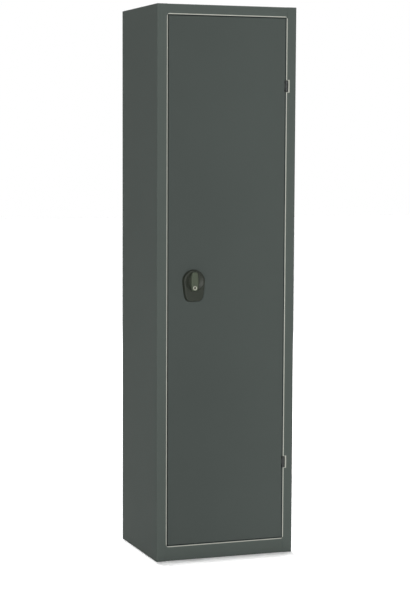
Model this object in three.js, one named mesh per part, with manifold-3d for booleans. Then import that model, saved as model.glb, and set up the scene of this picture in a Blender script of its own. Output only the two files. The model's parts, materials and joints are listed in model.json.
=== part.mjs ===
// Tall sheet-steel side locker: a folded carcass, one flush door on two pin hinges, a turn handle
// with a key cylinder that drives two lock rods, and adjustable shelves on slotted posts.
// Millimetres, +Z up, the door faces -Y. The origin is on the floor, in the middle of the outline.
import * as THREE from "three";
import { mergeVertices } from "three/addons/utils/BufferGeometryUtils.js";
import Module from "manifold-3d";

const wasm = await Module();
wasm.setup();

// Driving dimensions. Inside the locker group y runs back from the front face of the carcass.
const WIDTH = 530;
const DEPTH = 415;
const HEIGHT = 2000;
const STILE = 40; // frame beside the door
const HEAD = 38; // frame above the door
const PLINTH = 56.5; // top of the frame below the door, above the floor
const SHEET = 1.2;
const FOLD = 3; // inside radius of the carcass folds
const FIT = 0.3; // gap between pieces that are welded, screwed or resting on each other
const SINK = 1; // how far joined shapes run into each other, and cutters past a face

const JAMB = 23; // depth of the frame's return beside the door
const STOP = { reach: 12, weld: 10 }; // stop frame behind the door: into the opening, behind the jambs
const REAR_FLANGE = 15;
const BASE_FLANGE = 20;
const FLOOR_LIP = 25; // front edge of the floor panel, turned down

const DOOR_GAP = 2.5;
const DOOR_DEPTH = 20;
const DOOR_FOLD = 1.5;
const DOOR_LIP = 15;

const HINGE_Z = { upper: 1718, lower: 341 };
const HINGE_SETBACK = 3; // hinge axis behind the front face
const HINGE_OUT = 6; // hinge axis beyond the edge of the door
const KNUCKLE_R = 5.6;
const PIN_R = 3;
const PIN_BORE_R = 3.3;
const KNUCKLE_SPAN = 39;
const DOOR_KNUCKLE = 16;
const PIN_HEAD = { r: 4.6, height: 1.2 };
const LEAF = { thickness: 2, plateHalf: 17, armHalf: 1.25, inset: 2, clear: 1 };
const NOTCH = { height: 43, depth: 10, back: 14, corner: 4 };

const HANDLE_X = -128;
const HANDLE_Z = 1018;
const HOUSING = { halfWidth: 39.5, rise: 44, drop: 72, footHalf: 29, corner: 15, proud: 15, edge: 3.5 };
const DISH_R = 37;
const DISH_FLOOR = -4.7; // y of the floor of the round dish
const GRIP = { half: 34.6, waist: 13, end: 10.5, front: -21, corner: 4, edge: 2.5 };
const TURNTABLE = { r: 34.5, front: -8, back: DISH_FLOOR - FIT };
const CYLINDER_DROP = 23; // key cylinder below the handle axis
const PLUG_R = 6;
const PLUG_BORE_R = 6.4;
const BEZEL_R = 8.2;
const BEZEL_FRONT = -21.4;
const BEZEL_LENGTH = 4.4;
const KEYWAY = { width: 1.8, height: 8, depth: 5 };
const TAIL = { reach: 11, width: 6, front: -4.2, back: -2.4 };
const TAIL_GROOVE = { inner: 13, outer: 33, floor: -1.8, notch: 37, notchWidth: 12.5 };

const MODULE = 1.6; // rack and pinion behind the handle
const TEETH = 12;
const PRESSURE = THREE.MathUtils.degToRad(25);
const BACKLASH = 0.5;
const PITCH_R = (MODULE * TEETH) / 2;
const ADDENDUM = 0.9 * MODULE;
const DEDENDUM = 1.2 * MODULE;
const ROD = { width: 10, front: 9, back: 14, tip: 1, play: 1, taper: 3 };
const ROD_X = PITCH_R + DEDENDUM + ROD.width / 2; // rod centre line beside the pinion
const CASE = { halfWidth: 30, halfHeight: 40, back: 17, wall: 1.5, corner: 4 };
const SPINDLE_R = 7;
const SPINDLE_HOLE_R = 9; // hole for the spindle in the door
const JOURNAL_R = 5;
const SCREW = { r: 2.5, headR: 4.5, headHeight: 2.8, depth: 8, slotWidth: 1.2, slotDepth: 1.4 };
const SCREW_PLACES = { left: [-17, -57], right: [17, -57] };
const GUIDE = { flange: 12, half: 15, inset: 160, fold: 0.4 };
const KEEPER = { margin: 8, thickness: 3 };
const STIFFENER = { left: 35, right: 125, flange: 15, clear: 3, margin: 40 };

const POST = { width: 30, depth: 10, front: 70, rear: 345, top: 1985, slotWidth: 8, slotHeight: 15 };
const SLOT_PITCH = 75;
const SLOT_FIRST = 120;
const SLOT_COUNT = 25;
const SHELF_SLOTS = [5, 10, 15, 20];
const CLIP = { ledge: 15, thickness: 2.5, leg: 14, hookBack: 4, hookRise: 5, play: 0.4 };
const SHELF = { front: 45, back: 407, side: 2, lip: 25 };

const BUFFER = { r: 4, upper: 1560, lower: 460 };

// Places that follow from the driving dimensions.
const HALF_W = WIDTH / 2;
const WALL_X = HALF_W - SHEET; // inside face of a side wall
const OPEN_X = HALF_W - STILE;
const OPEN_TOP = HEIGHT - HEAD;
const FOLD_OUT = FOLD + SHEET; // outside radius of a fold
const FRAME_CUT = OPEN_X + FOLD_OUT; // where the rails meet the stiles
const FLOOR_TOP = PLINTH + STOP.reach;
const STOP_FRONT = JAMB + FIT; // front face of the stop frame
const FLOOR_FRONT = STOP_FRONT + SHEET + FIT;
const BACK_FACE = DEPTH - SHEET - FIT; // rear face of the back panel
const FLOOR_BACK = BACK_FACE - SHEET - FIT;
const DOOR_X = OPEN_X - DOOR_GAP;
const DOOR_LOW = PLINTH + DOOR_GAP;
const DOOR_TOP = OPEN_TOP - DOOR_GAP;
const HINGE_X = DOOR_X + HINGE_OUT;
const POST_FACE = WALL_X - FIT - POST.depth;
const SIDES = { left: -1, right: 1 };
const DOOR_EDGE_FRONT = SHEET + FIT; // the door's edge strips start behind its front sheet
const ROUND = 24; // segments of a round piece
const FINE_ROUND = 48; // segments of the dish and what turns in it
const SMALL_ROUND = 16; // segments of a screw or a buffer

const paint = new THREE.MeshStandardMaterial({ color: 0x4f5653, roughness: 0.55, metalness: 0.1 });
const zinc = new THREE.MeshStandardMaterial({ color: 0x9a9d9c, roughness: 0.4, metalness: 0.9 });
const bright = new THREE.MeshStandardMaterial({ color: 0xc9ccc4, roughness: 0.25, metalness: 1 });
const darkSteel = new THREE.MeshStandardMaterial({ color: 0x3b3e3c, roughness: 0.5, metalness: 0.7 });
const blackPlastic = new THREE.MeshStandardMaterial({ color: 0x33342e, roughness: 0.5, metalness: 0 });
const greyPlastic = new THREE.MeshStandardMaterial({ color: 0x5d6258, roughness: 0.5, metalness: 0 });
const rubber = new THREE.MeshStandardMaterial({ color: 0x202120, roughness: 0.9, metalness: 0 });

// Solids: three.js geometry to a manifold and back.
function solid(geometry) {
  const bare = geometry.clone();
  bare.deleteAttribute("normal");
  bare.deleteAttribute("uv");
  const merged = mergeVertices(bare, 1e-4);
  const triVerts = merged.index.array;
  const vertProperties = merged.attributes.position.array;
  return new wasm.Manifold(new wasm.Mesh({ numProp: 3, vertProperties, triVerts }));
}

function geometryOf(manifold) {
  const mesh = manifold.getMesh();
  const geometry = new THREE.BufferGeometry();
  geometry.setAttribute("position", new THREE.BufferAttribute(mesh.vertProperties, 3));
  geometry.setIndex(new THREE.BufferAttribute(mesh.triVerts, 1));
  return geometry;
}

function cut(geometry, tools) {
  return geometryOf(tools.reduce((body, tool) => body.subtract(solid(tool)), solid(geometry)));
}

function join(geometries) {
  return geometryOf(geometries.slice(1).reduce((body, g) => body.add(solid(g)), solid(geometries[0])));
}

// A box between two values on each axis, in either order.
function block([x0, x1], [y0, y1], [z0, z1]) {
  const box = new THREE.BoxGeometry(Math.abs(x1 - x0), Math.abs(y1 - y0), Math.abs(z1 - z0));
  return box.translate((x0 + x1) / 2, (y0 + y1) / 2, (z0 + z1) / 2);
}

// A round bar along Y or Z through the point (x, across), between two values on its axis.
function bar(axis, r, [from, to], x = 0, across = 0, segments = ROUND) {
  const round = new THREE.CylinderGeometry(r, r, to - from, segments);
  const middle = (from + to) / 2;
  if (axis === "y") return round.translate(x, middle, across);
  return round.rotateX(Math.PI / 2).translate(x, across, middle);
}

// Extrudes a shape along an axis. The shape's own x and y become X and Y on "z", Y and Z on "x",
// and X and Z on "y".
function extrude(shape, axis, [from, to], curveSegments = 4) {
  const options = { depth: to - from, bevelEnabled: false, curveSegments };
  return turned(new THREE.ExtrudeGeometry(shape, options), axis, from, to);
}

function turned(geometry, axis, from, to) {
  const [X, Y, Z] = [new THREE.Vector3(1, 0, 0), new THREE.Vector3(0, 1, 0), new THREE.Vector3(0, 0, 1)];
  const basis = new THREE.Matrix4();
  if (axis === "x") basis.makeBasis(Y, Z, X).setPosition(from, 0, 0);
  else if (axis === "y") basis.makeBasis(X, Z, Y.clone().negate()).setPosition(0, to, 0);
  else basis.makeTranslation(0, 0, from);
  return geometry.applyMatrix4(basis);
}

// Section of a folded sheet. The run gives the corner points of its visible face, and the
// thickness lies to the right of the run, or to the left where side is -1.
function foldedSheet(run, side = 1, thickness = SHEET, fold = FOLD) {
  const face = run.map(([x, y]) => new THREE.Vector2(x, y));
  const hidden = offsetRun(face, side * thickness);
  const shape = new THREE.Shape();
  shape.moveTo(face[0].x, face[0].y);
  const turns = face.map((p, i) => turnAt(face, i) * side);
  addRun(shape, face, turns.map((t) => (t < 0 ? fold + thickness : fold)));
  addRun(shape, hidden.reverse(), turns.map((t) => (t < 0 ? fold : fold + thickness)).reverse());
  shape.closePath();
  return shape;
}

// Positive where the run turns left at point i, negative where it turns right.
function turnAt(run, i) {
  if (i === 0 || i === run.length - 1) return 0;
  return run[i].clone().sub(run[i - 1]).cross(run[i + 1].clone().sub(run[i]));
}

function offsetRun(run, distance) {
  return run.map((p, i) => {
    const into = run[Math.max(i, 1)].clone().sub(run[Math.max(i, 1) - 1]).normalize();
    const next = Math.min(i, run.length - 2);
    const out = run[next + 1].clone().sub(run[next]).normalize();
    const normals = [into, out].map((d) => new THREE.Vector2(d.y, -d.x));
    const mitre = normals[0].clone().add(normals[1]).divideScalar(1 + normals[0].dot(normals[1]));
    return p.clone().addScaledVector(mitre, distance);
  });
}

// Adds a run of lines to a shape, with an arc of the given radius at each inner corner.
function addRun(shape, run, radii) {
  run.forEach((p, i) => {
    const turn = turnAt(run, i);
    if (turn === 0) {
      shape.lineTo(p.x, p.y);
      return;
    }
    const back = run[i - 1].clone().sub(p).normalize();
    const ahead = run[i + 1].clone().sub(p).normalize();
    const half = Math.acos(back.dot(ahead)) / 2;
    const middle = back.clone().add(ahead).normalize();
    const centre = p.clone().addScaledVector(middle, radii[i] / Math.sin(half));
    const reach = radii[i] / Math.tan(half);
    const start = p.clone().addScaledVector(back, reach).sub(centre).angle();
    const end = p.clone().addScaledVector(ahead, reach).sub(centre).angle();
    shape.absarc(centre.x, centre.y, radii[i], start, end, turn < 0);
  });
}

// A rectangle with round corners, as a shape.
function roundedRectangle([x0, x1], [y0, y1], r) {
  const shape = new THREE.Shape();
  shape.absarc(x1 - r, y1 - r, r, 0, Math.PI / 2);
  shape.absarc(x0 + r, y1 - r, r, Math.PI / 2, Math.PI);
  shape.absarc(x0 + r, y0 + r, r, Math.PI, Math.PI * 1.5);
  shape.absarc(x1 - r, y0 + r, r, Math.PI * 1.5, Math.PI * 2);
  shape.closePath();
  return shape;
}

function piece(group, name, geometry, material, position = [0, 0, 0], turn = 0) {
  const mesh = new THREE.Mesh(geometry, material.clone());
  mesh.name = name;
  mesh.position.set(...position);
  mesh.rotation.z = turn;
  group.add(mesh);
  return mesh;
}

// Carcass: each side wall is one sheet folded round into the stile and the jamb.
function sidePanel(side) {
  const run = [
    [HALF_W - REAR_FLANGE, DEPTH],
    [HALF_W, DEPTH],
    [HALF_W, 0],
    [OPEN_X, 0],
    [OPEN_X, JAMB],
  ].map(([x, y]) => [side * x, y]);
  const panel = extrude(foldedSheet(run, side), "z", [0, HEIGHT]);
  const railEnds = [[-FIT, PLINTH + FIT], [OPEN_TOP - FIT, HEIGHT + FIT]];
  const tools = railEnds.map((z) => {
    return block([side * (OPEN_X - FIT), side * FRAME_CUT], [-FIT, JAMB + FIT], z);
  });
  if (side === SIDES.right) tools.push(...Object.values(HINGE_Z).map(hingeNotch));
  return cut(panel, tools);
}

// Notch in the edge of the stile that shows the hinge knuckles.
function hingeNotch(z) {
  const across = [OPEN_X - FOLD_OUT, OPEN_X + NOTCH.depth];
  const outline = roundedRectangle(across, [z - NOTCH.height / 2, z + NOTCH.height / 2], NOTCH.corner);
  return extrude(outline, "y", [-FIT, NOTCH.back]);
}

function topPanel() {
  const run = [
    [DEPTH, HEIGHT - REAR_FLANGE],
    [DEPTH, HEIGHT],
    [0, HEIGHT],
    [0, OPEN_TOP],
    [JAMB, OPEN_TOP],
  ];
  const reach = WALL_X - FIT;
  const sheet = extrude(foldedSheet(run, -1), "x", [-reach, reach]);
  const tabs = [];
  const tools = [boltSlot(-ROD_X, [OPEN_TOP - FIT, OPEN_TOP + SHEET + FIT])];
  for (const side of Object.values(SIDES)) {
    const outer = side * HALF_W;
    tools.push(block([side * (FRAME_CUT - FIT), outer], [-FIT, FOLD_OUT], [0, HEIGHT + FIT]));
    const behind = [SHEET + FIT, JAMB + FIT];
    tools.push(block([side * (OPEN_X - FIT), outer], behind, [0, HEIGHT - FOLD_OUT]));
    const flange = side * (HALF_W - REAR_FLANGE - FIT);
    tools.push(block([flange, outer], [DEPTH - FOLD_OUT - FIT, DEPTH + FIT], [0, HEIGHT + FIT]));
    const tab = [side * (FRAME_CUT - FOLD), side * (WALL_X - FOLD - FIT)];
    tabs.push(block(tab, [SHEET + FIT, JAMB], [HEIGHT - SHEET, HEIGHT]));
  }
  return join([cut(sheet, tools), ...tabs]);
}

// Rail below the door, which stands on its base flange.
function plinthRail() {
  const run = [[BASE_FLANGE, 0], [0, 0], [0, PLINTH], [JAMB, PLINTH]];
  const reach = FRAME_CUT - FIT;
  const sheet = extrude(foldedSheet(run), "x", [-reach, reach]);
  const ledges = Object.values(SIDES).map((side) => {
    const behind = [SHEET + FIT, JAMB + FIT];
    return block([side * (OPEN_X - FIT), side * HALF_W], behind, [PLINTH - FOLD_OUT, PLINTH + FIT]);
  });
  return cut(sheet, [boltSlot(ROD_X, [PLINTH - SHEET - FIT, PLINTH + FIT]), ...ledges]);
}

function floorPanel() {
  const run = [
    [FLOOR_FRONT, FLOOR_TOP - FLOOR_LIP],
    [FLOOR_FRONT, FLOOR_TOP],
    [FLOOR_BACK, FLOOR_TOP],
    [FLOOR_BACK, 0],
    [FLOOR_BACK - BASE_FLANGE, 0],
  ];
  const reach = WALL_X - FIT;
  return extrude(foldedSheet(run), "x", [-reach, reach]);
}

// Flat frame behind the jambs that the door closes against.
function doorStop() {
  const outer = OPEN_X + STOP.weld;
  const inner = OPEN_X - STOP.reach;
  const plate = block(
    [-outer, outer],
    [STOP_FRONT, STOP_FRONT + SHEET],
    [PLINTH - STOP.weld, OPEN_TOP + STOP.weld],
  );
  const through = [STOP_FRONT - FIT, STOP_FRONT + SHEET + FIT];
  return cut(plate, [block([-inner, inner], through, [FLOOR_TOP, OPEN_TOP - STOP.reach])]);
}

// Slot that a lock rod slides through, in the frame or in a keeper.
function boltSlot(rodX, z) {
  const half = ROD.width / 2 + ROD.play;
  const depth = [ROD.front - ROD.play, ROD.back + ROD.play];
  return block([HANDLE_X + rodX - half, HANDLE_X + rodX + half], depth, z);
}

function backPanel() {
  const half = HALF_W - FOLD_OUT - FIT;
  return block([-half, half], [BACK_FACE - SHEET, BACK_FACE], [0, HEIGHT - FOLD_OUT - FIT]);
}

function keeper(rodX, z) {
  const half = ROD.width / 2 + KEEPER.margin;
  const plate = block([HANDLE_X + rodX - half, HANDLE_X + rodX + half], [FOLD_OUT, JAMB - FIT], z);
  return cut(plate, [boltSlot(rodX, [z[0] - FIT, z[1] + FIT])]);
}

// Slotted upright that carries the shelf clips.
function shelfPost(side, y) {
  const face = POST_FACE;
  const run = [[WALL_X - FIT, y], [face, y], [face, y + POST.width], [WALL_X - FIT, y + POST.width]];
  const section = foldedSheet(run.map(([x, v]) => [side * x, v]), side, SHEET, DOOR_FOLD);
  const post = extrude(section, "z", [FLOOR_TOP + FIT, POST.top], 2);
  const middle = y + POST.width / 2;
  const tools = Array.from({ length: SLOT_COUNT }, (_, i) => {
    const z = SLOT_FIRST + i * SLOT_PITCH;
    const span = [middle - POST.slotWidth / 2, middle + POST.slotWidth / 2];
    const through = [side * (face - FIT), side * (face + SHEET + FIT)];
    return block(through, span, [z - POST.slotHeight / 2, z + POST.slotHeight / 2]);
  });
  return cut(post, tools);
}

// Shelf clip, hooked through a post slot. Its x runs from the face of the post towards the wall.
function clipGeometry() {
  const { ledge, thickness, leg, hookBack, hookRise, play } = CLIP;
  const hookFront = SHEET + play;
  const outline = [
    [-ledge, 0],
    [-ledge, -thickness],
    [-thickness - FIT, -thickness],
    [-thickness - FIT, -leg],
    [-FIT, -leg],
    [-FIT, -thickness],
    [hookBack, -thickness],
    [hookBack, hookRise],
    [hookFront, hookRise],
    [hookFront, 0],
  ].map(([x, z]) => new THREE.Vector2(x, z));
  const half = POST.slotWidth / 2 - play;
  return extrude(new THREE.Shape(outline), "y", [-half, half]);
}

function shelfGeometry() {
  const half = POST_FACE - SHELF.side;
  const pan = block([-half, half], [SHELF.front, SHELF.back], [0, SHELF.lip]);
  const inside = half - SHEET;
  const hollow = [SHELF.front + SHEET, SHELF.back - SHEET];
  return cut(pan, [block([-inside, inside], hollow, [-FIT, SHELF.lip - SHEET])]);
}

function bufferGeometry() {
  return bar("y", BUFFER.r, [DOOR_DEPTH + FIT, STOP_FRONT - FIT], 0, 0, SMALL_ROUND);
}

function addCarcass(locker) {
  const carcass = new THREE.Group();
  locker.add(carcass);
  for (const [name, side] of Object.entries(SIDES)) {
    piece(carcass, `${name}_side_panel`, sidePanel(side), paint);
    piece(carcass, `shelf_post_front_${name}`, shelfPost(side, POST.front), paint);
    piece(carcass, `shelf_post_rear_${name}`, shelfPost(side, POST.rear), paint);
  }
  piece(carcass, "top_panel", topPanel(), paint);
  piece(carcass, "plinth_rail", plinthRail(), paint);
  piece(carcass, "floor_panel", floorPanel(), paint);
  piece(carcass, "door_stop", doorStop(), paint);
  piece(carcass, "back_panel", backPanel(), paint);
  const topKeeper = OPEN_TOP + SHEET + FIT;
  piece(carcass, "top_keeper", keeper(-ROD_X, [topKeeper, topKeeper + KEEPER.thickness]), zinc);
  const lowKeeper = PLINTH - SHEET - FIT;
  piece(carcass, "bottom_keeper", keeper(ROD_X, [lowKeeper - KEEPER.thickness, lowKeeper]), zinc);
  for (const name of ["upper", "lower"]) {
    const place = [-OPEN_X + STOP.reach - BUFFER.r, 0, BUFFER[name]];
    piece(carcass, `${name}_door_buffer`, bufferGeometry(), rubber, place);
  }
  addShelves(carcass);
}

function addShelves(carcass) {
  const shelf = shelfGeometry();
  const clip = clipGeometry();
  SHELF_SLOTS.forEach((slot, i) => {
    const seat = SLOT_FIRST + slot * SLOT_PITCH;
    piece(carcass, `shelf_${i + 1}`, shelf, paint, [0, 0, seat + FIT]);
    for (const [name, side] of Object.entries(SIDES)) {
      for (const [place, y] of [["front", POST.front], ["rear", POST.rear]]) {
        const position = [side * POST_FACE, y + POST.width / 2, seat];
        const turn = side > 0 ? 0 : Math.PI;
        piece(carcass, `shelf_${i + 1}_clip_${place}_${name}`, clip, zinc, position, turn);
      }
    }
  });
}

// Hinges: the leaves are drawn about the hinge axis, with x and y measured from it.
function frameLeaf() {
  const half = KNUCKLE_SPAN / 2;
  const near = DOOR_KNUCKLE / 2 + FIT;
  const face = OPEN_X + SHEET + FIT - HINGE_X; // hidden face of the jamb
  const plateBack = JAMB - FIT - HINGE_SETBACK;
  const plate = block([face, face + LEAF.thickness], [0, plateBack], [-half, half]);
  const clear = KNUCKLE_R + LEAF.clear;
  const gap = block([face - FIT, face + LEAF.thickness + FIT], [-clear, clear], [-near, near]);
  const knuckles = [[near, half], [-half, -near]].map((z) => bar("z", KNUCKLE_R, z));
  return cut(join([cut(plate, [gap]), ...knuckles]), [bar("z", PIN_BORE_R, [-half - FIT, half + FIT])]);
}

function doorLeaf() {
  const half = DOOR_KNUCKLE / 2;
  const inside = DOOR_X - SHEET - FIT - HINGE_X; // inner face of the door's edge
  const { thickness, plateHalf, armHalf, inset } = LEAF;
  const plateY = [-armHalf, DOOR_DEPTH - HINGE_SETBACK - inset];
  const plate = block([inside - thickness, inside], plateY, [-plateHalf, plateHalf]);
  const arm = block([inside - thickness, -PIN_R], [-armHalf, armHalf], [-half, half]);
  const knuckle = bar("z", KNUCKLE_R, [-half, half]);
  return cut(join([plate, arm, knuckle]), [bar("z", PIN_BORE_R, [-half - FIT, half + FIT])]);
}

function hingePin() {
  const half = KNUCKLE_SPAN / 2;
  const head = half + FIT;
  const shank = bar("z", PIN_R, [-half, head + PIN_HEAD.height / 2]);
  return join([shank, bar("z", PIN_HEAD.r, [head, head + PIN_HEAD.height])]);
}

function addHinges(locker, door) {
  for (const [name, z] of Object.entries(HINGE_Z)) {
    const axis = [HINGE_X, HINGE_SETBACK, z];
    piece(locker, `${name}_hinge_frame_leaf`, frameLeaf(), darkSteel, axis);
    piece(locker, `${name}_hinge_pin`, hingePin(), zinc, axis);
    piece(door, `${name}_hinge_door_leaf`, doorLeaf(), darkSteel, axis);
  }
}

// Door: a flat front sheet with a strip round each edge. The upright strips have lips at the back.
function doorPanel() {
  const sheet = block([-DOOR_X, DOOR_X], [0, SHEET], [DOOR_LOW, DOOR_TOP]);
  const through = [-FIT, SHEET + FIT];
  const screwHoles = Object.values(SCREW_PLACES).map(([x, z]) =>
    bar("y", SCREW.r + FIT, through, HANDLE_X + x, HANDLE_Z + z),
  );
  const spindleHole = bar("y", SPINDLE_HOLE_R, through, HANDLE_X, HANDLE_Z);
  return cut(sheet, [...hingeCuts(), spindleHole, ...screwHoles]);
}

function doorUpright(side) {
  const run = [
    [DOOR_X, DOOR_EDGE_FRONT],
    [DOOR_X, DOOR_DEPTH],
    [DOOR_X - DOOR_LIP, DOOR_DEPTH],
  ].map(([x, y]) => [side * x, y]);
  const strip = extrude(foldedSheet(run, -side, SHEET, DOOR_FOLD), "z", [DOOR_LOW, DOOR_TOP], 3);
  return side === SIDES.right ? cut(strip, hingeCuts()) : strip;
}

// Strip across the top or bottom of the door, with a slot for its lock rod.
function doorEnd(rodX, z) {
  const reach = DOOR_X - SHEET - DOOR_FOLD;
  const strip = block([-reach, reach], [DOOR_EDGE_FRONT, DOOR_DEPTH - SHEET - FIT], z);
  return cut(strip, [boltSlot(rodX, [z[0] - FIT, z[1] + FIT])]);
}

// Room for the hinge knuckles in the edge of the door.
function hingeCuts() {
  const half = NOTCH.height / 2;
  const across = [DOOR_X - 2 * SHEET, DOOR_X + FIT];
  const depth = [-FIT, HINGE_SETBACK + KNUCKLE_R];
  return Object.values(HINGE_Z).map((z) => block(across, depth, [z - half, z + half]));
}

function hatSection(x0, x1, flange, crown) {
  const face = SHEET + FIT; // rests on the inside of the door sheet
  return [
    [x0, face + SHEET], [x0 + flange, face + SHEET], [x0 + flange, crown],
    [x1 - flange, crown], [x1 - flange, face + SHEET], [x1, face + SHEET],
  ];
}

function doorStiffener() {
  const { left, right, flange, clear, margin } = STIFFENER;
  const run = hatSection(left, right, flange, DOOR_DEPTH - clear);
  return extrude(foldedSheet(run, 1, SHEET, DOOR_FOLD), "z", [DOOR_LOW + margin, DOOR_TOP - margin], 2);
}

// Strap that holds a lock rod against the door and guides it.
function rodGuide() {
  const half = ROD.width / 2 + FIT + SHEET;
  const outer = half + GUIDE.flange;
  const run = hatSection(-outer, outer, GUIDE.flange, ROD.back + FIT + SHEET);
  return extrude(foldedSheet(run, 1, SHEET, GUIDE.fold), "z", [-GUIDE.half, GUIDE.half], 2);
}

// Lock: drawn about the handle axis, with x across, y back from the door face and z up.
function housingOutline() {
  const { halfWidth, rise, drop, footHalf, corner } = HOUSING;
  const shape = new THREE.Shape();
  shape.moveTo(halfWidth, 0);
  shape.absellipse(0, 0, halfWidth, rise, 0, Math.PI);
  const shoulder = footHalf + ((halfWidth - footHalf) * corner) / drop;
  shape.lineTo(-shoulder, -drop + corner);
  shape.quadraticCurveTo(-footHalf, -drop, -footHalf + corner, -drop);
  shape.lineTo(footHalf - corner, -drop);
  shape.quadraticCurveTo(footHalf, -drop, shoulder, -drop + corner);
  shape.closePath();
  return shape;
}

// Extrudes an outline forward from the door, with a round edge at its front.
function raised(outline, front, back, edge, curveSegments) {
  const depth = back - front;
  const bevel = { bevelThickness: edge, bevelSize: edge, bevelOffset: -edge, bevelSegments: 3 };
  const options = { depth, curveSegments, ...bevel };
  const body = turned(new THREE.ExtrudeGeometry(outline, options), "y", front + edge, back + edge);
  const reach = HOUSING.rise + HOUSING.drop; // wider than any raised piece
  return cut(body, [block([-reach, reach], [back, back + 3 * edge], [-reach, reach])]);
}

function dishTool() {
  const mouth = -HOUSING.proud - FIT;
  const lean = 0.6; // the dish narrows a little towards its floor
  return new THREE.CylinderGeometry(DISH_R - lean, DISH_R, DISH_FLOOR - mouth, FINE_ROUND)
    .translate(0, (mouth + DISH_FLOOR) / 2, 0);
}

// Ring groove in the dish floor, with notches where the key's tail locks the handle.
function tailGroove() {
  const { inner, outer, floor, notch, notchWidth } = TAIL_GROOVE;
  const y = [DISH_FLOOR - FIT, floor];
  const ring = cut(bar("y", outer, y, 0, 0, FINE_ROUND), [bar("y", inner, [y[0] - FIT, y[1] + FIT])]);
  const half = notchWidth / 2;
  const middle = (inner + outer) / 2;
  const bottom = block([-half, half], y, [-notch, -middle]);
  const left = block([-notch, -middle], y, [-half, half]);
  return join([ring, bottom, left]);
}

function handleHousing() {
  const body = raised(housingOutline(), -HOUSING.proud, -FIT, HOUSING.edge, 14);
  const screwHole = [-SCREW.depth - FIT, FIT];
  const screws = Object.values(SCREW_PLACES).map(([x, z]) =>
    bar("y", SCREW.r + FIT, screwHole, x, z, SMALL_ROUND),
  );
  const spindle = bar("y", SPINDLE_R + FIT, [-HOUSING.proud, FIT]);
  return cut(body, [dishTool(), tailGroove(), spindle, ...screws]);
}

function gripOutline() {
  const { half, waist, end, corner } = GRIP;
  const shape = new THREE.Shape();
  const swell = 2 * waist - end; // control point that brings the side out to the waist
  shape.moveTo(end, -half + corner);
  shape.quadraticCurveTo(swell, 0, end, half - corner);
  shape.quadraticCurveTo(end, half, end - corner, half);
  shape.lineTo(-end + corner, half);
  shape.quadraticCurveTo(-end, half, -end, half - corner);
  shape.quadraticCurveTo(-swell, 0, -end, -half + corner);
  shape.quadraticCurveTo(-end, -half, -end + corner, -half);
  shape.lineTo(end - corner, -half);
  shape.quadraticCurveTo(end, -half, end, -half + corner);
  return shape;
}

function turnHandle() {
  const plate = bar("y", TURNTABLE.r, [TURNTABLE.front, TURNTABLE.back], 0, 0, FINE_ROUND);
  const grip = raised(gripOutline(), GRIP.front, TURNTABLE.front + SINK, GRIP.edge, 6);
  const seat = BEZEL_FRONT + BEZEL_LENGTH + FIT;
  return cut(join([plate, grip]), [
    bar("y", PLUG_BORE_R, [GRIP.front - SINK, 0], 0, -CYLINDER_DROP),
    bar("y", BEZEL_R + FIT, [GRIP.front - SINK, seat], 0, -CYLINDER_DROP),
  ]);
}

function cylinderBezel() {
  const y = [BEZEL_FRONT, BEZEL_FRONT + BEZEL_LENGTH];
  return cut(bar("y", BEZEL_R, y), [bar("y", PLUG_BORE_R, [y[0] - FIT, y[1] + FIT])]);
}

// Key cylinder plug with its keyway, and the tail that turns into the housing's notches.
function keyCylinder() {
  const front = BEZEL_FRONT + FIT;
  const plug = bar("y", PLUG_R, [front, TAIL.back]);
  const nose = TAIL.width / 2;
  const tailY = [TAIL.front, TAIL.back];
  const tail = [
    block([0, TAIL.reach - nose], tailY, [-nose, nose]),
    bar("y", nose, tailY, TAIL.reach - nose),
  ];
  const slot = block(
    [-KEYWAY.width / 2, KEYWAY.width / 2],
    [front - FIT, front + KEYWAY.depth],
    [-KEYWAY.height / 2, KEYWAY.height / 2],
  );
  return cut(join([plug, ...tail]), [slot]);
}

// Pinion outline: involute flanks between a root and a tip circle, with a space facing each rack.
function pinionOutline() {
  const base = PITCH_R * Math.cos(PRESSURE);
  const root = PITCH_R - DEDENDUM;
  const tip = PITCH_R + ADDENDUM;
  const involute = (r) => Math.tan(Math.acos(base / r)) - Math.acos(base / r);
  const pitchHalf = (Math.PI * MODULE - BACKLASH) / 4 / PITCH_R;
  const halfAt = (r) => pitchHalf + involute(PITCH_R) - involute(Math.max(r, base));
  const radii = [root, Math.max(base, root), PITCH_R, tip];
  const points = [];
  for (let i = 0; i < TEETH; i++) {
    const middle = ((i + 0.5) * 2 * Math.PI) / TEETH;
    const flank = radii.map((r) => [r, halfAt(r)]);
    for (const [r, half] of flank) points.push([r, middle - half]);
    for (const [r, half] of flank.reverse()) points.push([r, middle + half]);
  }
  return new THREE.Shape(points.map(([r, a]) => new THREE.Vector2(r * Math.cos(a), r * Math.sin(a))));
}

function drivePinion() {
  const gear = extrude(pinionOutline(), "y", [ROD.front, ROD.back]);
  const coverEnd = CASE.back + FIT + CASE.wall;
  const spindle = bar("y", SPINDLE_R, [TURNTABLE.back + FIT, ROD.front + FIT]);
  return join([gear, spindle, bar("y", JOURNAL_R, [ROD.front, coverEnd])]);
}

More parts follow.
